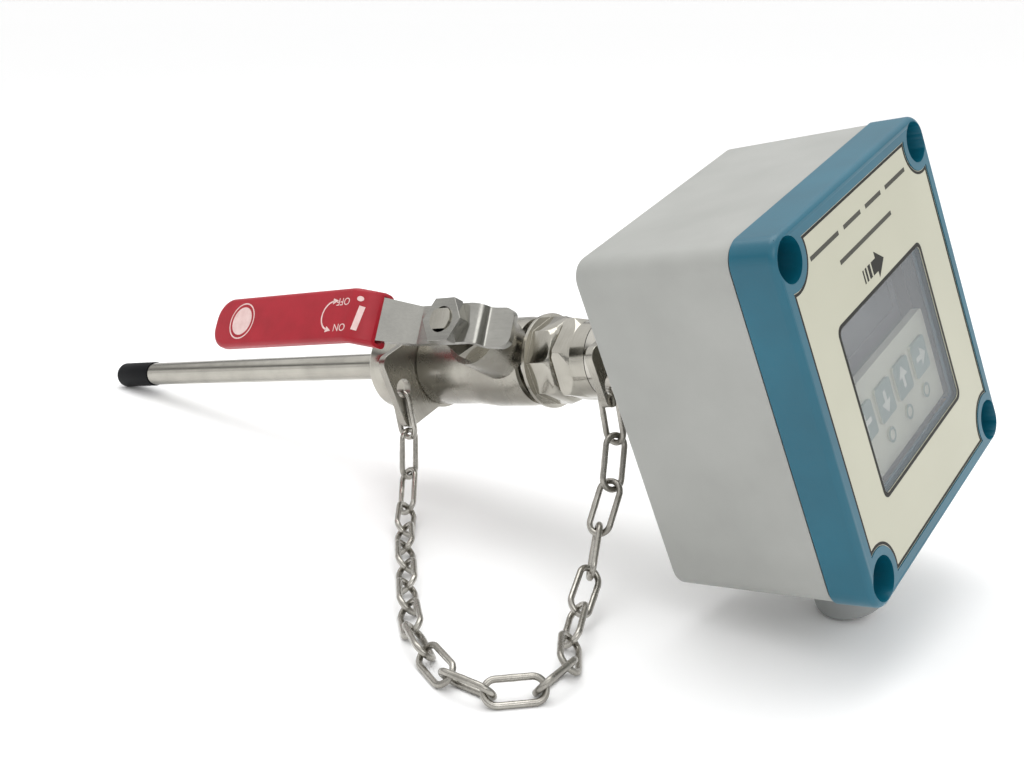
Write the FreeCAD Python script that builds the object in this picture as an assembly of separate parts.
import FreeCAD, Part
import math
import os

# Insertion air flow meter: a display housing on a probe tube that passes through a
# compression fitting and a ball valve, with a safety chain between two lug plates.
# It is modelled along its probe: x runs along the probe towards the lid, z is the top
# of the housing, and the origin is the middle of the housing's back wall. At the end
# the whole model is laid down as it rests on a table. All sizes are millimetres.

# Housing
box_width = 120.0
box_height = 127.0
base_depth = 59.5
box_back_width = 117.4
box_back_height = 123.8
box_front_width = 119.4
box_front_height = 125.4
box_corner_radius = 7.5
box_edge_radius = 2.6
wall = 3.0
lid_depth = 15.2
lid_front_wall = 3.0
gasket_depth = 2.0
gasket_width = 2.2
joint_gap = 0.6
lid_lip = 3.0
lid_lip_wall = 1.8
slip = 0.15

# Lid screws and their wells
screw_pitch_width = 102.4
screw_pitch_height = 109.2
well_radius = 7.25
well_depth = 10.5
screw_shank_radius = 2.0
screw_head_radius = 4.0
screw_head_height = 2.6
screw_length = 26.0
screw_slot_width = 1.2
screw_slot_depth = 1.0
screw_post_radius = 5.0
pilot_play = 0.05

# Front label and window
label_width = 109.0
label_height = 116.0
label_thickness = 0.3
label_notch_radius = 10.2
label_corner_radius = 2.0
label_recess = 0.6
window_width = 68.0
window_height = 58.0
window_offset_y = -0.8
window_offset_z = -5.7
window_corner_radius = 2.5
lens_lap = 3.0
lens_thickness = 2.0

# Electronics
board_size_y = 92.0
board_size_z = 84.0
board_thickness = 1.6
board_setback = 17.7
board_hole_inset = 4.0
spacer_radius = 2.5
board_screw_radius = 1.5
panel_width = 66.0
panel_height = 34.0
panel_thickness = 3.0
key_size = 12.2
key_pitch = 15.8
key_count = 4
key_rise = 1.0
key_row_shift = -2.7
key_row_offset = 3.7
lamp_radius = 2.4
lamp_rise = 0.8
lamp_count = 3
lamp_row_shift = 3.7
lamp_row_offset = -8.3
panel_foot_pitch = 52.8
display_width = 66.0
display_height = 26.0
display_thickness = 7.0
supply_board_size_y = 80.0
supply_board_size_z = 70.0
supply_board_depth = 16.0
clamp_count = 8
clamp_pitch = 5.0
clamp_depth = 10.0
clamp_height = 8.0
clamp_bottom = -30.0
clamp_screw_radius = 1.5

# Cable gland under the housing
gland_x = 41.0
gland_y = -18.0
gland_thread_radius = 10.0
gland_flange_radius = 13.0
gland_flange_height = 1.2
gland_flats = 24.0
gland_hex_height = 6.0
gland_collar = 10.0
gland_dome_radius = 12.5
gland_dome_edge = 3.0
gland_length = 27.3
gland_lip = 3.0
gland_bore_radius = 5.5
gland_seal_radius = 7.2
gland_thread_inside = 9.0
gland_nut_height = 5.0
locknut_turn = 30.0

# Probe
tube_radius = 6.0
tube_bore_radius = 5.0
tube_start = -365.0
tube_end = 8.0
cap_start = -383.0
cap_end = -353.0
cap_radius = 6.5
cap_edge = 2.5
sensor_radius = 1.2
sensor_spread = 2.6
sensor_plug_length = 12.0

# Process end: collar, lug plate and valve body
collar_start = -162.0
collar_radius = 18.6
collar_thread_radius = 12.2
collar_thread_depth = 15.0
collar_chamfer = 1.0
plate_thickness = 3.5
body_start = -134.0
body_end = -78.0
body_radius = 17.3
body_bulge_radius = 18.3
bulge_shoulder = 24.0
bulge_start = 14.0
bead_end = -73.0
bead_radius = 18.7
end_cap_radius = 19.2
end_cap_end = -60.0
end_cap_flats = 32.6
end_cap_sides = 8
port_radius = 9.5

# Ball, seats and stem
stem_x = -87.0
stem_lean = 45.0
ball_radius = 14.5
ball_play = 0.08
seat_length = 3.2
seat_radius = 12.4
insert_thread_radius = 15.6
stem_radius = 5.25
stem_play = 0.06
stem_flats = 8.4
stem_top = 53.5
stem_flat_start = 43.5
stem_flange_radius = 7.2
stem_flange_start = 16.2
stem_flange_end = 18.4
tang_thickness = 5.0
tang_depth = 3.0
boss_radius = 12.2
boss_top = 33.5
packing_radius = 8.6
packing_start = 21.0
packing_end = 28.5
packing_nut_flats = 18.0
packing_nut_head = 5.5

# Lever
hub_top = 47.7
lever_thickness = 2.6
hub_width = 16.0
handle_width = 19.6
hub_end = -73.3
crease_x = -103.7
handle_rise = 18.0
handle_bend_x = -123.9
handle_end = -211.2
handle_offset = -0.75
tail_run = 1.4
tail_drop = 6.5
tail_foot = 10.5
tail_foot_drop = 1.6
bend_radius = 2.6
handle_end_radius = 8.0
sleeve_wall = 1.5
sleeve_start = -115.5
sleeve_edge = 1.9
lever_nut_flats = 17.6
lever_nut_height = 5.0
lever_nut_turn = 30.0

# Compression fitting and the housing's nipple
fitting_start = -59.5
fitting_hex_end = -52.0
fitting_flats = 30.6
fitting_turn = 25.5
fitting_radius = 15.3
fitting_joint = -45.0
fitting_thread_radius = 13.0
thread_reach = 8.0
outer_plate_start = -28.3
outer_plate_thickness = 3.3
ferrule_length = 6.0
ferrule_radius = 8.6
nipple_radius = 10.8
nipple_bore_play = 0.05
nipple_flats = 27.0
nipple_hex_length = 9.0
nipple_thread_radius = 10.0
nipple_thread_inside = 12.0
nipple_nut_height = 5.0
nipple_nut_flats = 27.0

# Lug plates and chain
ear_reach = 32.5
ear_top = 18.6
inner_ear_bottom = -15.0
outer_ear_bottom = -6.0
ear_corner = 4.5
ear_hole_radius = 4.0
ear_hole_y = -26.5
ear_hole_z = 2.0
link_length = 22.2
link_width = 10.5
link_wire = 2.3
link_wire_sides = 8
link_bend_steps = 6
hole_play = 1.0
steep_link = 0.65
# How each link is turned about its own length, in degrees
link_rolls = [0, 90, 45, -45, 45, -45, 45, -45, 45, -45, 45, -50, 45, -50, 45, -45, 45, -54, 5, 67, -5]
# The line that the chain follows, seen from above and with its height, from one ear to the other
chain_route = [
    (-128.0, -26.0, 32.0),
    (-125.0, -30.0, 15.0),
    (-117.0, -40.0, 6.0),
    (-106.0, -53.0, 4.0),
    (-94.0, -65.0, 4.0),
    (-82.0, -77.0, 4.0),
    (-70.0, -89.0, 4.0),
    (-58.0, -101.0, 4.0),
    (-45.0, -112.0, 4.0),
    (-30.0, -121.0, 4.0),
    (-14.0, -127.0, 4.0),
    (1.0, -125.0, 4.0),
    (11.0, -112.0, 4.0),
    (9.0, -96.0, 4.0),
    (-1.0, -82.0, 4.0),
    (-8.0, -68.0, 7.0),
    (-13.0, -54.0, 13.0),
    (-18.0, -43.0, 24.0),
    (-19.0, -33.0, 38.0),
    (-21.0, -27.0, 54.0),
]

# Rest on the table: the roll about the probe in degrees
rest_roll = 14.0

V = FreeCAD.Vector
X_AXIS = V(1, 0, 0)
Y_AXIS = V(0, 1, 0)
Z_AXIS = V(0, 0, 1)
ORIGIN = V(0, 0, 0)

lid_start = base_depth + joint_gap
lid_front = lid_start + lid_depth
label_floor = lid_front - label_recess
lid_inside = label_floor - lid_front_wall
board_depth = lid_inside - board_setback
inner_plate_start = body_start - plate_thickness
outer_plate_end = outer_plate_start + outer_plate_thickness


def face_of(points):
    return Part.Face(Part.makePolygon(points + [points[0]]))


def turned(profile):
    # A turned piece: an outline of (x, radius) points spun about the probe's axis.
    face = face_of([V(x, 0, radius) for x, radius in profile])
    return face.revolve(ORIGIN, X_AXIS, 360)


def rod(start, end, radius):
    return Part.makeCylinder(radius, end - start, V(start, 0, 0), X_AXIS)


def post(base, top, radius, x=0.0, y=0.0):
    return Part.makeCylinder(radius, top - base, V(x, y, base), Z_AXIS)


def prism(sides, flats, start, end, turn=0.0):
    # A wrench prism along x, as wide across its flats as a spanner that fits it.
    corner = flats / 2 / math.cos(math.pi / sides)
    angles = [math.radians(turn + 360.0 * k / sides) for k in range(sides)]
    points = [V(start, corner * math.cos(a), corner * math.sin(a)) for a in angles]
    return face_of(points).extrude(V(end - start, 0, 0))


def upright_hexagon(flats, base, top, x=0.0, y=0.0, turn=0.0):
    shape = prism(6, flats, base, top, turn)
    shape.rotate(ORIGIN, Y_AXIS, -90)
    shape.translate(V(x, y, 0))
    return shape


def rounded_face(points, radii):
    # A flat face whose corners are rounded, each by its own radius.
    edges = []
    starts = []
    ends = []
    count = len(points)
    for k in range(count):
        corner = points[k]
        back = (points[k - 1] - corner).normalize()
        ahead = (points[(k + 1) % count] - corner).normalize()
        half = back.getAngle(ahead) / 2
        cut = radii[k] / math.tan(half) if radii[k] > 0 else 0.0
        starts.append(corner + back * cut)
        ends.append(corner + ahead * cut)
        if radii[k] > 0:
            bisector = (back + ahead).normalize()
            reach = radii[k] / math.sin(half) - radii[k]
            edges.append(Part.Arc(starts[k], corner + bisector * reach, ends[k]).toShape())
        edges.append(None)
    straight = [k for k, edge in enumerate(edges) if edge is None]
    for k, place in enumerate(straight):
        edges[place] = Part.makeLine(ends[k], starts[(k + 1) % count])
    return Part.Face(Part.Wire(edges))


def rounded_rectangle(x, width, height, radius, y=0.0, z=0.0):
    corners = [
        V(x, y - width / 2, z - height / 2),
        V(x, y + width / 2, z - height / 2),
        V(x, y + width / 2, z + height / 2),
        V(x, y - width / 2, z + height / 2),
    ]
    return rounded_face(corners, [radius] * 4)


def slab(start, end, width, height, radius, y=0.0, z=0.0):
    return rounded_rectangle(start, width, height, radius, y, z).extrude(V(end - start, 0, 0))


def corner_places(pitch_y, pitch_z):
    return [(sy * pitch_y / 2, sz * pitch_z / 2) for sy in (-1, 1) for sz in (-1, 1)]


def rods_at(places, start, end, radius):
    return [Part.makeCylinder(radius, end - start, V(start, y, z), X_AXIS) for y, z in places]


def loft_box(start, end, shrink):
    # The tapered box of the base, smaller all round by the amount given.
    taper_w = (box_front_width - box_back_width) / base_depth
    taper_h = (box_front_height - box_back_height) / base_depth
    wires = []
    for x in (start, end):
        width = box_back_width + taper_w * x - 2 * shrink
        height = box_back_height + taper_h * x - 2 * shrink
        wires.append(rounded_rectangle(x, width, height, box_corner_radius - shrink).OuterWire)
    return Part.makeLoft(wires, True, True)


def rim_edges(shape, x):
    return [e for e in shape.Edges if abs(e.BoundBox.XMin - x) < 1e-4 and abs(e.BoundBox.XMax - x) < 1e-4]


def enclosure_base():
    outer = loft_box(0.0, base_depth, 0.0)
    outer = outer.makeFillet(box_edge_radius, rim_edges(outer, 0.0))
    shell = outer.cut(loft_box(wall, base_depth + 1, wall))
    posts = rods_at(screw_places, wall / 2, base_depth - lid_lip - slip, screw_post_radius)
    shell = shell.fuse([p.common(outer) for p in posts])
    shell = shell.cut(rods_at(screw_places, screw_tip - 2, base_depth + 1, screw_shank_radius + pilot_play))
    shell = shell.fuse(rods_at(supply_places, wall / 2, supply_board_depth, spacer_radius + 1))
    shell = shell.cut(rods_at(supply_places, wall + 2, base_depth, board_screw_radius))
    shell = shell.cut(rod(-1, wall + 1, nipple_thread_radius + slip))
    gland_hole = post(-box_height, 0, gland_thread_radius + slip, gland_x, gland_y)
    return shell.cut(gland_hole).removeSplitter()


def lid_gasket():
    outer_w = box_front_width - 2 * wall + 2 * gasket_width - 1.0
    outer_h = box_front_height - 2 * wall + 2 * gasket_width - 1.0
    radius = box_corner_radius - wall + gasket_width - 0.5
    ring = slab(base_depth, lid_start, outer_w, outer_h, radius)
    hole = slab(
        base_depth - 1, lid_start + 1, outer_w - 2 * gasket_width, outer_h - 2 * gasket_width, radius - gasket_width
    )
    return ring.cut(hole)


def enclosure_lid():
    block = slab(lid_start, lid_front, box_width, box_height, box_corner_radius + 0.5)
    block = block.makeFillet(box_edge_radius, rim_edges(block, lid_front))
    hollow = slab(
        lid_start - 1, lid_inside, box_width - 2 * wall, box_height - 2 * wall, box_corner_radius - wall
    )
    shell = block.cut(hollow)
    well_posts = rods_at(screw_places, lid_start, lid_front - 1, well_radius + 1.6)
    shell = shell.fuse([p.common(block) for p in well_posts])
    lip_w = box_front_width - 2 * wall - 2 * slip - 1.0
    lip_h = box_front_height - 2 * wall - 2 * slip - 1.0
    lip_radius = box_corner_radius - wall
    lip = slab(base_depth - lid_lip, lid_start + 1, lip_w, lip_h, lip_radius)
    lip = lip.cut(
        slab(
            base_depth - lid_lip - 1,
            lid_start + 2,
            lip_w - 2 * lid_lip_wall,
            lip_h - 2 * lid_lip_wall,
            lip_radius - lid_lip_wall,
        )
    )
    shell = shell.fuse(lip)
    shell = shell.cut(label_plate(label_floor, lid_front + 1, slip))
    shell = shell.cut(rods_at(screw_places, lid_front - well_depth, lid_front + 1, well_radius))
    shell = shell.cut(rods_at(screw_places, base_depth - lid_lip - 1, lid_front, screw_shank_radius + slip))
    shell = shell.cut(window_slab(lid_inside - 1, label_floor + 1, -slip))
    shell = shell.cut(window_slab(label_floor - lens_thickness, label_floor + 1, lens_lap + slip))
    return shell.removeSplitter()


def window_slab(start, end, grow):
    return slab(
        start,
        end,
        window_width + 2 * grow,
        window_height + 2 * grow,
        window_corner_radius,
        window_offset_y,
        window_offset_z,
    )


def label_plate(start, end, grow):
    plate = slab(start, end, label_width + 2 * grow, label_height + 2 * grow, label_corner_radius)
    return plate.cut(rods_at(screw_places, start - 1, end + 1, label_notch_radius - grow))


def front_label():
    plate = label_plate(label_floor, label_floor + label_thickness, 0.0)
    return plate.cut(window_slab(label_floor - 1, label_floor + 1, 0.0)).removeSplitter()


def window_lens():
    return window_slab(label_floor - lens_thickness, label_floor, lens_lap)


def lid_screw(y, z):
    head_base = lid_front - well_depth
    head_top = head_base + screw_head_height
    head = turned(
        [
            (head_base, 0),
            (head_base, screw_head_radius),
            (head_top - 0.9, screw_head_radius),
            (head_top, screw_head_radius - 0.9),
            (head_top, 0),
        ]
    )
    slot = Part.makeBox(
        screw_slot_depth + 1,
        screw_head_radius * 2 + 1,
        screw_slot_width,
        V(head_top - screw_slot_depth, -screw_head_radius - 0.5, -screw_slot_width / 2),
    )
    cross = slot.copy()
    cross.rotate(ORIGIN, X_AXIS, 90)
    screw = head.fuse(rod(screw_tip, head_base, screw_shank_radius)).cut([slot, cross])
    screw.translate(V(0, y, z))
    return screw.removeSplitter()


def circuit_board():
    board = slab(board_depth, board_depth + board_thickness, board_size_y, board_size_z, 1.5, 0, window_offset_z)
    holes = rods_at(board_places, board_depth - 1, board_depth + board_thickness + 1, board_screw_radius)
    return board.cut(holes)


def board_spacers():
    return rods_at(board_places, board_depth + board_thickness, lid_inside, spacer_radius)


def supply_board():
    depth = supply_board_depth
    board = slab(depth, depth + board_thickness, supply_board_size_y, supply_board_size_z, 1.5)
    board = board.cut(rods_at(supply_places, depth - 1, depth + board_thickness + 1, board_screw_radius))
    return board


def terminal_block():
    # A row of clamps on the supply board, one wire entry and one screw for each.
    start = supply_board_depth + board_thickness
    length = clamp_count * clamp_pitch
    block = Part.makeBox(clamp_depth, length, clamp_height, V(start, -length / 2, clamp_bottom))
    entry = clamp_pitch / 2
    for k in range(clamp_count):
        y = -length / 2 + clamp_pitch * (k + 0.5)
        top = V(start + clamp_depth - 2.0, y, clamp_bottom + clamp_height / 2)
        block = block.cut(Part.makeCylinder(clamp_screw_radius, 3.0, top, X_AXIS))
        block = block.cut(Part.makeBox(entry, entry, 2.0, V(start + 2.0, y - entry / 2, clamp_bottom)))
    return block


def keypad_panel():
    # The panel behind the window: four keys in a row and three small lamps below.
    front = panel_front
    back = board_depth + board_thickness
    bottom = window_offset_z - window_height / 2 + 1.0
    middle = bottom + panel_height / 2
    panel = slab(front - panel_thickness, front, panel_width, panel_height, 1.5, window_offset_y, middle)
    for k in range(key_count):
        y = window_offset_y + key_row_shift + key_pitch * (k - (key_count - 1) / 2)
        key = slab(front - 0.5, front + key_rise, key_size, key_size, 1.0, y, middle + key_row_offset)
        panel = panel.fuse(key)
    for k in range(lamp_count):
        y = window_offset_y + lamp_row_shift + key_pitch * (k - (lamp_count - 1) / 2)
        lamp = V(front - 0.1, y, middle + lamp_row_offset)
        panel = panel.fuse(Part.makeCylinder(lamp_radius, lamp_rise, lamp, X_AXIS))
    feet = [(window_offset_y + sy * panel_foot_pitch / 2, middle) for sy in (-1, 1)]
    return panel.fuse(rods_at(feet, back, front - panel_thickness / 2, spacer_radius)).removeSplitter()


def display_module():
    start = board_depth + board_thickness
    middle = window_offset_z + window_height / 2 - display_height / 2 + 1.0
    block = slab(start, start + display_thickness, display_width, display_height, 1.0, window_offset_y, middle)
    screen = slab(
        start + display_thickness - 0.6,
        start + display_thickness + 1,
        display_width - 8,
        display_height - 8,
        0.8,
        window_offset_y,
        middle,
    )
    return block.cut(screen)


def gland_body():
    flange_bottom = gland_seat - gland_flange_height
    hex_bottom = gland_seat - gland_hex_height
    body = upright_hexagon(gland_flats, hex_bottom, flange_bottom, gland_x, gland_y)
    body = body.fuse(post(flange_bottom, gland_seat, gland_flange_radius, gland_x, gland_y))
    body = body.fuse(post(gland_seat, gland_seat + gland_thread_inside, gland_thread_radius, gland_x, gland_y))
    body = body.fuse(post(hex_bottom - gland_collar, hex_bottom, gland_thread_radius, gland_x, gland_y))
    return body.cut(post(gland_end, 0, gland_seal_radius + 0.1, gland_x, gland_y)).removeSplitter()


def gland_dome_nut():
    top = gland_seat - gland_hex_height
    nut = post(gland_end, top, gland_dome_radius, gland_x, gland_y)
    end_edges = [e for e in nut.Edges if abs(e.BoundBox.ZMax - gland_end) < 1e-4]
    nut = nut.makeFillet(gland_dome_edge, end_edges)
    nut = nut.cut(post(gland_end + gland_lip, top + 1, gland_thread_radius + slip, gland_x, gland_y))
    return nut.cut(post(gland_end - 1, top, gland_bore_radius + 0.6, gland_x, gland_y))


def gland_seal():
    top = gland_seat - gland_hex_height
    seal = post(gland_end + gland_lip, top, gland_seal_radius, gland_x, gland_y)
    return seal.cut(post(gland_end, top + 1, gland_bore_radius, gland_x, gland_y))


def gland_locknut():
    base = max(gland_rim_heights) + wall + 0.1
    nut = upright_hexagon(gland_flats, base, base + gland_nut_height, gland_x, gland_y, locknut_turn)
    return nut.cut(post(base - 1, base + gland_nut_height + 1, gland_thread_radius + slip, gland_x, gland_y))


def base_bottom_at(x):
    # The outside of the base's tapered bottom wall.
    return -(box_back_height + (box_front_height - box_back_height) * x / base_depth) / 2


def probe_tube():
    return rod(tube_start, tube_end, tube_radius).cut(rod(tube_start - 1, tube_end + 1, tube_bore_radius))


def probe_tip_cap():
    cap = rod(cap_start, cap_end, cap_radius)
    cap = cap.makeFillet(cap_edge, rim_edges(cap, cap_start))
    return cap.cut(rod(cap_start + 1.6, cap_end + 1, tube_radius + 0.02))


def sensor_plug():
    # The two thin sensing pins and the plug that holds them in the tube's end.
    plug = rod(tube_start, tube_start + sensor_plug_length, tube_bore_radius - 0.02)
    pins = [
        Part.makeCylinder(sensor_radius, 14.0, V(tube_start - 13.0, side * sensor_spread, 0), X_AXIS)
        for side in (-1, 1)
    ]
    return plug.fuse(pins).removeSplitter()


def process_collar():
    start = collar_start
    end = inner_plate_start
    chamfer = collar_chamfer
    thread_end = start + collar_thread_depth
    return turned(
        [
            (start, collar_thread_radius + chamfer),
            (start, collar_radius - chamfer),
            (start + chamfer, collar_radius),
            (end, collar_radius),
            (end, port_radius),
            (thread_end, port_radius),
            (thread_end, collar_thread_radius),
            (start + chamfer, collar_thread_radius),
        ]
    )


def lug_plate(start, thickness, bottom, bore):
    ear = rounded_face(
        [
            V(start, 0, bottom),
            V(start, 0, ear_top),
            V(start, -ear_reach, ear_top),
            V(start, -ear_reach, bottom),
        ],
        [0, 0, ear_corner, ear_corner],
    ).extrude(V(thickness, 0, 0))
    ring = rod(start, start + thickness, collar_radius)
    plate = ring.fuse(ear)
    hole = Part.makeCylinder(
        ear_hole_radius, thickness + 2, V(start - 1, ear_hole_y, ear_hole_z), X_AXIS
    )
    return plate.cut([rod(start - 1, start + thickness + 1, bore), hole]).removeSplitter()


def lean(shape):
    # From a frame with its height along the stem to the frame of the probe.
    placed = shape.copy()
    placed.rotate(ORIGIN, X_AXIS, stem_lean)
    return placed


def valve_body():
    cavity = ball_radius + 0.5
    inside_start = stem_x - cavity
    body = turned(
        [
            (body_start, port_radius),
            (body_start, body_radius - 0.6),
            (body_start + 0.6, body_radius),
            (stem_x - bulge_shoulder, body_radius),
            (stem_x - bulge_start, body_bulge_radius),
            (stem_x + 5, body_bulge_radius),
            (body_end, body_radius + 0.3),
            (body_end, insert_thread_radius),
            (inside_start, insert_thread_radius),
            (inside_start, port_radius),
        ]
    )
    boss = lean(post(insert_thread_radius - 1, boss_top, boss_radius, stem_x))
    inside = rod(inside_start, body_end + 1, insert_thread_radius)
    body = body.fuse(boss.cut(inside))
    body = body.cut(lean(post(0, stem_flange_end, stem_flange_radius + stem_play, stem_x)))
    body = body.cut(lean(post(0, packing_start + 1, stem_radius + stem_play, stem_x)))
    body = body.cut(lean(post(packing_start, boss_top + 1, packing_radius, stem_x)))
    return body.removeSplitter()


def valve_end_cap():
    insert_start = stem_x + ball_radius + 0.5
    cap = turned(
        [
            (body_end, insert_thread_radius - slip),
            (body_end, bead_radius),
            (body_end + 1.8, bead_radius),
            (body_end + 2.4, bead_radius - 0.8),
            (body_end + 3.0, bead_radius - 0.8),
            (body_end + 3.4, bead_radius),
            (bead_end, end_cap_radius),
            (bead_end + 2.5, end_cap_radius),
            (bead_end + 7.5, end_cap_radius - 0.9),
            (end_cap_end - 1.5, end_cap_radius - 2.6),
            (end_cap_end, end_cap_radius - 4.6),
            (end_cap_end, fitting_thread_radius + slip),
            (end_cap_end - thread_reach - 1, fitting_thread_radius + slip),
            (end_cap_end - thread_reach - 1, port_radius),
            (insert_start, port_radius),
            (insert_start, insert_thread_radius - slip),
        ]
    )
    flats = prism(end_cap_sides, end_cap_flats, bead_end + 1.5, end_cap_end + 1, 22.5)
    kept = flats.fuse(rod(insert_start - 1, bead_end + 1.5, end_cap_radius + 1))
    return cap.common(kept).removeSplitter()


def valve_ball():
    ball = Part.makeSphere(ball_radius, V(stem_x, 0, 0))
    ball = ball.cut(rod(stem_x - ball_radius - 1, stem_x + ball_radius + 1, port_radius))
    slot = Part.makeBox(
        2 * ball_radius + 2,
        tang_thickness + 2 * stem_play,
        tang_depth + 3,
        V(stem_x - ball_radius - 1, -tang_thickness / 2 - stem_play, ball_radius - tang_depth),
    )
    return ball.cut(lean(slot))


def ball_seat(side):
    # A ring whose inner edge is cut to the ball that turns in it.
    outside = stem_x + side * (ball_radius + 0.5)
    inside = outside - side * seat_length
    ring = rod(min(outside, inside), max(outside, inside), seat_radius)
    ring = ring.cut(rod(min(outside, inside) - 1, max(outside, inside) + 1, port_radius + 0.3))
    return ring.cut(Part.makeSphere(ball_radius + ball_play, V(stem_x, 0, 0)))


def valve_stem():
    stem = post(stem_flange_start, stem_top, stem_radius, stem_x)
    stem = stem.fuse(post(stem_flange_start, stem_flange_end - stem_play, stem_flange_radius, stem_x))
    tang = Part.makeBox(
        2 * stem_radius,
        tang_thickness,
        stem_flange_start - (ball_radius - tang_depth) + 0.5,
        V(stem_x - stem_radius, -tang_thickness / 2, ball_radius - tang_depth + stem_play),
    )
    stem = stem.fuse(tang)
    for side in (-1, 1):
        flat = Part.makeBox(
            2 * stem_radius + 2,
            stem_radius,
            stem_top - stem_flat_start + 1,
            V(stem_x - stem_radius - 1, side * (stem_flats / 2 + stem_radius / 2) - stem_radius / 2, stem_flat_start),
        )
        stem = stem.cut(flat)
    return lean(stem.removeSplitter())


def stem_packing():
    # Three rings pressed together round the stem.
    rings = post(packing_start, packing_end, packing_radius - 0.02, stem_x)
    return lean(rings.cut(post(packing_start - 1, packing_end + 1, stem_radius + stem_play, stem_x)))


def packing_nut():
    nut = post(packing_end, boss_top, packing_radius - 0.02, stem_x)
    nut = nut.fuse(upright_hexagon(packing_nut_flats, boss_top, boss_top + packing_nut_head, stem_x))
    nut = nut.cut(post(packing_end - 1, boss_top + packing_nut_head + 1, stem_radius + stem_play, stem_x))
    return lean(nut.removeSplitter())


def strip_face(low, high, start):
    # The lever's side outline between two offsets from its top surface.
    top = [
        V(start, 0, hub_top + handle_rise),
        V(handle_bend_x, 0, hub_top + handle_rise),
        V(crease_x, 0, hub_top),
        V(hub_end, 0, hub_top),
        V(hub_end + tail_run, 0, hub_top - tail_drop),
        V(hub_end + tail_run + tail_foot, 0, hub_top - tail_drop - tail_foot_drop),
    ]
    return offset_band(top, low, high)


def offset_band(points, low, high):
    # A closed band along an open line of points, between two distances from it.
    lower = offset_line(points, low)
    upper = offset_line(points, high)
    outline = lower + upper[::-1]
    count = len(points)
    turns = [0.0] + [turn_side(points, k) for k in range(1, count - 1)] + [0.0]
    radii = [corner_radius(turn, low) for turn in turns]
    radii += [corner_radius(turn, high) for turn in reversed(turns)]
    return rounded_face(outline, radii)


def turn_side(points, k):
    ahead = points[k + 1] - points[k]
    behind = points[k] - points[k - 1]
    return math.copysign(1.0, behind.x * ahead.z - behind.z * ahead.x)


def corner_radius(turn, distance):
    # The bend's inner radius, and as much more as the surface lies outside it.
    if turn == 0.0:
        return 0.0
    middle = bend_radius + lever_thickness / 2
    return middle - turn * (distance + lever_thickness / 2)


def offset_line(points, distance):
    shifted = []
    last = len(points) - 1
    for k, point in enumerate(points):
        before = points[max(k - 1, 0)]
        after = points[min(k + 1, last)]
        first = (points[k] - before) if k > 0 else (after - point)
        second = (after - points[k]) if k < last else first
        normal_a = V(-first.z, 0, first.x).normalize()
        normal_b = V(-second.z, 0, second.x).normalize()
        middle = (normal_a + normal_b).normalize()
        shifted.append(point + middle * (distance / middle.dot(normal_a)))
    return shifted


def lever_handle():
    band = strip_face(-lever_thickness, 0.0, handle_end)
    reach = handle_width + 2
    strip = band.extrude(V(0, 2 * reach, 0))
    strip.translate(V(0, -reach, 0))
    half = hub_width / 2
    wide = handle_width / 2
    mid = handle_offset
    foot_x = hub_end + tail_run + tail_foot
    plan = rounded_face(
        [
            V(handle_end, mid - wide, 0),
            V(handle_bend_x, mid - wide, 0),
            V(crease_x, -half, 0),
            V(foot_x, -half, 0),
            V(foot_x, half, 0),
            V(crease_x, half, 0),
            V(handle_bend_x, mid + wide, 0),
            V(handle_end, mid + wide, 0),
        ],
        [handle_end_radius, 20, 12, 4.5, 4.5, 12, 20, handle_end_radius],
    ).extrude(V(0, 0, stem_top + handle_rise + 10))
    strip = strip.common(plan)
    hole = post(hub_top - 2 * lever_thickness, hub_top + 1, stem_radius + 0.02, stem_x)
    flat_gap = Part.makeBox(
        20, stem_flats + 0.04, 20, V(stem_x - 10, -stem_flats / 2 - 0.02, hub_top - 10)
    )
    return lean(strip.cut(hole.common(flat_gap)).removeSplitter())


def sleeve_shape(grow, start, end):
    # The soft sleeve's outside or inside, on the bent handle.
    band = strip_face(-lever_thickness - grow, grow, start)
    reach = handle_width + 4
    solid = band.extrude(V(0, 2 * reach, 0))
    solid.translate(V(0, -reach, 0))
    wide = handle_width / 2 + grow
    mid = handle_offset
    plan = rounded_face(
        [
            V(start, mid - wide, 0),
            V(end, mid - wide, 0),
            V(end, mid + wide, 0),
            V(start, mid + wide, 0),
        ],
        [handle_end_radius + grow, 0, 0, handle_end_radius + grow],
    ).extrude(V(0, 0, stem_top + handle_rise + 20))
    return solid.common(plan)


def lever_sleeve():
    outer = sleeve_shape(sleeve_wall, handle_end - sleeve_wall, sleeve_start)
    low = hub_top + handle_rise - lever_thickness - sleeve_wall
    high = hub_top + handle_rise + sleeve_wall
    long_edges = []
    for edge in outer.Edges:
        box = edge.BoundBox
        flat = box.ZLength < 1e-4 and (abs(box.ZMax - low) < 1e-3 or abs(box.ZMax - high) < 1e-3)
        if flat and box.YLength < handle_width and box.XMax < handle_bend_x + 6:
            long_edges.append(edge)
    outer = outer.makeFillet(sleeve_edge, long_edges)
    return lean(outer.cut(sleeve_shape(0.02, handle_end - 0.02, sleeve_start + 5)).removeSplitter())


def lever_nut():
    nut = upright_hexagon(lever_nut_flats, hub_top, hub_top + lever_nut_height, stem_x, 0, lever_nut_turn)
    cone = Part.makeCone(
        lever_nut_flats * 0.58 + lever_nut_height + 1,
        lever_nut_flats * 0.58 - 1.4,
        lever_nut_height + 2.4,
        V(stem_x, 0, hub_top - 1),
    )
    nut = nut.common(cone)
    return lean(nut.cut(post(hub_top - 1, stem_top + 5, stem_radius + 0.02, stem_x)))


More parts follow.
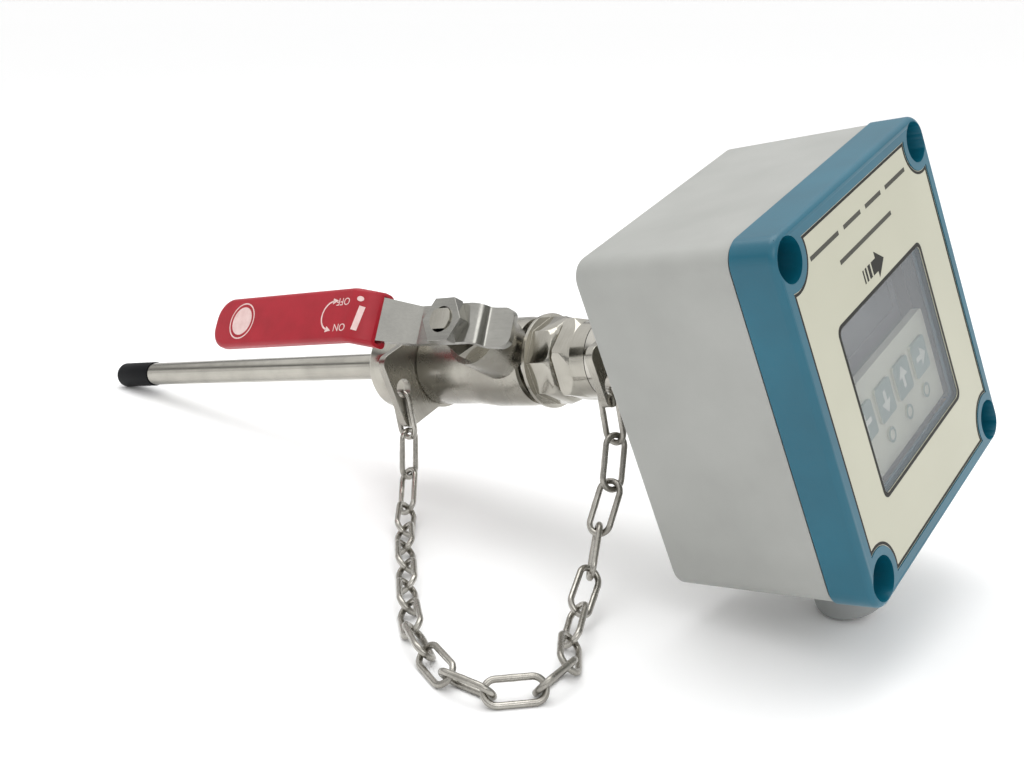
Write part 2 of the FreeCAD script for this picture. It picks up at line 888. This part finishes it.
def compression_body():
    blend = fitting_flats / 2 / math.cos(math.pi / 6) + 0.1
    outline = turned(
        [
            (fitting_start, 0),
            (fitting_start, blend - 0.9),
            (fitting_start + 1.2, blend),
            (fitting_hex_end - 3.6, blend),
            (fitting_hex_end, fitting_radius),
            (fitting_joint, fitting_radius),
            (fitting_joint, 0),
        ]
    )
    body = prism(6, fitting_flats, fitting_start, fitting_hex_end, fitting_turn).common(outline)
    body = body.fuse(rod(fitting_hex_end, fitting_joint, fitting_radius))
    body = body.fuse(rod(fitting_start - thread_reach, fitting_start, fitting_thread_radius))
    body = body.fuse(rod(fitting_joint, fitting_joint + thread_reach, fitting_thread_radius))
    body = body.cut(rod(fitting_start - thread_reach - 1, fitting_joint + thread_reach + 1, tube_radius + slip))
    seat_start = fitting_joint + thread_reach - ferrule_length
    seat = turned(
        [
            (seat_start, tube_radius),
            (seat_start + ferrule_length, ferrule_radius),
            (seat_start + ferrule_length + 1, ferrule_radius),
            (seat_start + ferrule_length + 1, tube_radius),
        ]
    )
    return body.cut(seat).removeSplitter()


def ferrule():
    start = fitting_joint + thread_reach - ferrule_length
    end = start + ferrule_length
    return turned(
        [
            (start + 0.5, tube_radius + 0.02),
            (end, ferrule_radius - 0.2),
            (end + 1.2, ferrule_radius - 0.2),
            (end + 1.2, tube_radius + 0.02),
        ]
    )


def compression_nut():
    end = outer_plate_start
    inner = fitting_joint + thread_reach + 1.3
    return turned(
        [
            (fitting_joint + 0.15, fitting_thread_radius + slip),
            (fitting_joint + 0.15, fitting_radius - 0.25),
            (fitting_joint + 0.4, fitting_radius),
            (end - 1.0, fitting_radius),
            (end, fitting_radius - 1.0),
            (end, tube_radius + slip),
            (inner, tube_radius + slip),
            (inner, fitting_thread_radius + slip),
        ]
    )


def housing_nipple():
    start = outer_plate_end
    hex_end = start + nipple_hex_length
    body = prism(6, nipple_flats, start, hex_end, fitting_turn)
    body = body.fuse(rod(hex_end, 0, nipple_radius + 1.5))
    body = body.fuse(rod(0, wall + nipple_thread_inside, nipple_thread_radius))
    body = body.fuse(rod(outer_plate_start, start, nipple_radius))
    return body.cut(rod(outer_plate_start - 1, wall + nipple_thread_inside + 1, tube_radius + nipple_bore_play))


def nipple_locknut():
    start = wall + slip
    nut = prism(6, nipple_nut_flats, start, start + nipple_nut_height)
    return nut.cut(rod(start - 1, start + nipple_nut_height + 1, nipple_thread_radius + slip))


def chain_link():
    # One welded oval link lying along x. Its wire has flat sides, mitred at each corner.
    bend = (link_width - link_wire) / 2
    side = (link_length - link_width) / 2
    corners = []
    for sign in (1, -1):
        for k in range(link_bend_steps + 1):
            angle = math.pi * (k / link_bend_steps - 0.5)
            corners.append(V(sign * (side + bend * math.cos(angle)), sign * bend * math.sin(angle), 0))
    half_side = math.pi / link_wire_sides
    wire = link_wire / 2 / math.cos(half_side)
    rings = []
    for k, corner in enumerate(corners):
        out_before = (corner - corners[k - 1]).cross(Z_AXIS).normalize()
        out_after = (corners[(k + 1) % len(corners)] - corner).cross(Z_AXIS).normalize()
        outward = (out_before + out_after).normalize()
        reach = wire / outward.dot(out_before)
        angles = [half_side * (2 * j + 1) for j in range(link_wire_sides)]
        rings.append([corner + outward * reach * math.cos(a) + Z_AXIS * wire * math.sin(a) for a in angles])
    faces = []
    for k, ring in enumerate(rings):
        after = rings[(k + 1) % len(rings)]
        for j in range(link_wire_sides):
            i = (j + 1) % link_wire_sides
            faces.append(face_of([ring[j], ring[i], after[i], after[j]]))
    link = Part.Solid(Part.Shell(faces))
    if link.Volume < 0:
        link.reverse()
    return link


def rest_normal(inclination):
    roll = math.radians(rest_roll)
    return V(
        math.sin(inclination),
        math.cos(inclination) * math.sin(roll),
        math.cos(inclination) * math.cos(roll),
    )


def lowest_point(normal, centre, axis, disc, edge):
    # The point of a disc with a rounded rim that comes lowest along the normal.
    across = (normal - axis * normal.dot(axis)).normalize()
    return centre - across * disc - normal * edge


def foot_heights(inclination):
    normal = rest_normal(inclination)
    tip = lowest_point(normal, V(cap_start + cap_edge, 0, 0), X_AXIS, cap_radius - cap_edge, cap_edge)
    gland = V(gland_x, gland_y, gland_end + gland_dome_edge)
    foot = lowest_point(normal, gland, Z_AXIS, gland_dome_radius - gland_dome_edge, gland_dome_edge)
    return normal.dot(tip), normal.dot(foot)


def rest_placement():
    # The meter lies on the rim of its tip cap and on the gland, so both are equally low.
    low = 0.0
    high = math.radians(30)
    for step in range(50):
        middle = (low + high) / 2
        tip, foot = foot_heights(middle)
        if tip > foot:
            low = middle
        else:
            high = middle
    normal = rest_normal(low)
    along = (X_AXIS - normal * normal.x).normalize()
    across = normal.cross(along)
    matrix = FreeCAD.Matrix(
        along.x, along.y, along.z, 0,
        across.x, across.y, across.z, 0,
        normal.x, normal.y, normal.z, -foot_heights(low)[0],
        0, 0, 0, 1,
    )
    return FreeCAD.Placement(matrix)


def walk(route, pitch):
    # Points at equal chords along a smooth line, as far as it goes.
    curve = Part.BSplineCurve()
    curve.interpolate(route)
    last = curve.LastParameter
    points = [route[0]]
    here = curve.FirstParameter
    while True:
        low = here
        step = (last - curve.FirstParameter) / 400
        while low + step < last and (curve.value(low + step) - points[-1]).Length < pitch:
            low += step
        if low + step >= last:
            return points, (curve.value(last) - points[-1]).Length
        high = low + step
        for trial in range(30):
            middle = (low + high) / 2
            if (curve.value(middle) - points[-1]).Length < pitch:
                low = middle
            else:
                high = middle
        here = low
        points.append(curve.value(here))


def chain_points(rest):
    # Where each link bears on the next, from one ear's hole to the other's.
    inner = link_length - 2 * link_wire
    holes = []
    for x in (inner_plate_start + plate_thickness / 2, outer_plate_start + outer_plate_thickness / 2):
        holes.append(rest.multVec(V(x, ear_hole_y, ear_hole_z)) - V(0, 0, ear_hole_radius - hole_play))
    left, right = holes
    route = [left] + [V(x, y, z) for x, y, z in chain_route] + [right]
    low = inner * 0.7
    high = inner * 1.4
    for trial in range(40):
        pitch = (low + high) / 2
        points, spare = walk(route, pitch)
        if len(points) > len(link_rolls):
            low = pitch
        else:
            high = pitch
    points, spare = walk(route, high)
    print("chain pitch", round(high, 2), "inner length", inner, "links", len(points), "spare", round(spare, 2))
    return points[:len(link_rolls)] + [right]


def place_link(link, start, end, roll):
    # A link between two bearing points, rolled about its length and set down on the table.
    along = (end - start).normalize()
    flat = X_AXIS if abs(along.z) > steep_link else Z_AXIS.cross(along)
    flat = (flat - along * flat.dot(along)).normalize()
    turn = math.radians(roll)
    width = flat * math.cos(turn) + along.cross(flat) * math.sin(turn)
    normal = along.cross(width)
    middle = (start + end) * 0.5
    matrix = FreeCAD.Matrix(
        along.x, width.x, normal.x, middle.x,
        along.y, width.y, normal.y, middle.y,
        along.z, width.z, normal.z, middle.z,
        0, 0, 0, 1,
    )
    placed = link.copy()
    placed.Placement = FreeCAD.Placement(matrix)
    sunk = placed.optimalBoundingBox(False, False).ZMin
    if sunk < 0:
        placed.translate(V(0, 0, -sunk))
    return placed


def safety_chain(rest):
    points = chain_points(rest)
    link = chain_link()
    links = []
    for k, roll in enumerate(link_rolls):
        links.append(place_link(link, points[k], points[k + 1], roll))
    return links


screw_places = corner_places(screw_pitch_width, screw_pitch_height)
screw_tip = lid_front - well_depth - screw_length
board_holes = corner_places(board_size_y - 2 * board_hole_inset, board_size_z - 2 * board_hole_inset)
board_places = [(y, z + window_offset_z) for y, z in board_holes]
supply_places = corner_places(
    supply_board_size_y - 2 * board_hole_inset, supply_board_size_z - 2 * board_hole_inset
)
panel_front = lid_inside - 1.5
gland_rim_heights = [base_bottom_at(gland_x + side * gland_flange_radius) for side in (-1, 1)]
gland_seat = min(gland_rim_heights)
gland_end = gland_seat - gland_length

parts = {
    "enclosure_base": enclosure_base(),
    "lid_gasket": lid_gasket(),
    "enclosure_lid": enclosure_lid(),
    "lid_screws": Part.makeCompound([lid_screw(y, z) for y, z in screw_places]),
    "front_label": front_label(),
    "window_lens": window_lens(),
    "circuit_board": circuit_board(),
    "board_spacers": Part.makeCompound(board_spacers()),
    "keypad_panel": keypad_panel(),
    "display_module": display_module(),
    "supply_board": supply_board(),
    "terminal_block": terminal_block(),
    "gland_body": gland_body(),
    "gland_dome_nut": gland_dome_nut(),
    "gland_seal": gland_seal(),
    "gland_locknut": gland_locknut(),
    "probe_tube": probe_tube(),
    "probe_tip_cap": probe_tip_cap(),
    "sensor_plug": sensor_plug(),
    "process_collar": process_collar(),
    "inner_lug_plate": lug_plate(inner_plate_start, plate_thickness, inner_ear_bottom, port_radius),
    "valve_body": valve_body(),
    "valve_end_cap": valve_end_cap(),
    "valve_ball": valve_ball(),
    "ball_seats": Part.makeCompound([ball_seat(-1), ball_seat(1)]),
    "valve_stem": valve_stem(),
    "stem_packing": stem_packing(),
    "packing_nut": packing_nut(),
    "lever_handle": lever_handle(),
    "lever_sleeve": lever_sleeve(),
    "lever_nut": lever_nut(),
    "compression_body": compression_body(),
    "ferrule": ferrule(),
    "compression_nut": compression_nut(),
    "outer_lug_plate": lug_plate(
        outer_plate_start, outer_plate_thickness, outer_ear_bottom, nipple_radius + slip
    ),
    "housing_nipple": housing_nipple(),
    "nipple_locknut": nipple_locknut(),
}

rest = rest_placement()
for name in parts:
    parts[name].Placement = rest.multiply(parts[name].Placement)
for number, link in enumerate(safety_chain(rest), 1):
    parts["chain_link_%02d" % number] = link

whole = Part.makeCompound(list(parts.values())).optimalBoundingBox(True, False)
centre = V(-(whole.XMin + whole.XMax) / 2, -(whole.YMin + whole.YMax) / 2, 0)
print("size", round(whole.XLength, 2), round(whole.YLength, 2), round(whole.ZLength, 2), "low", round(whole.ZMin, 3))
os.makedirs("parts", exist_ok=True)
for name, shape in parts.items():
    shape.translate(centre)
    print(name, shape.isValid(), len(shape.Solids), round(shape.Volume, 1))
    shape.exportStep("parts/%s.step" % name)
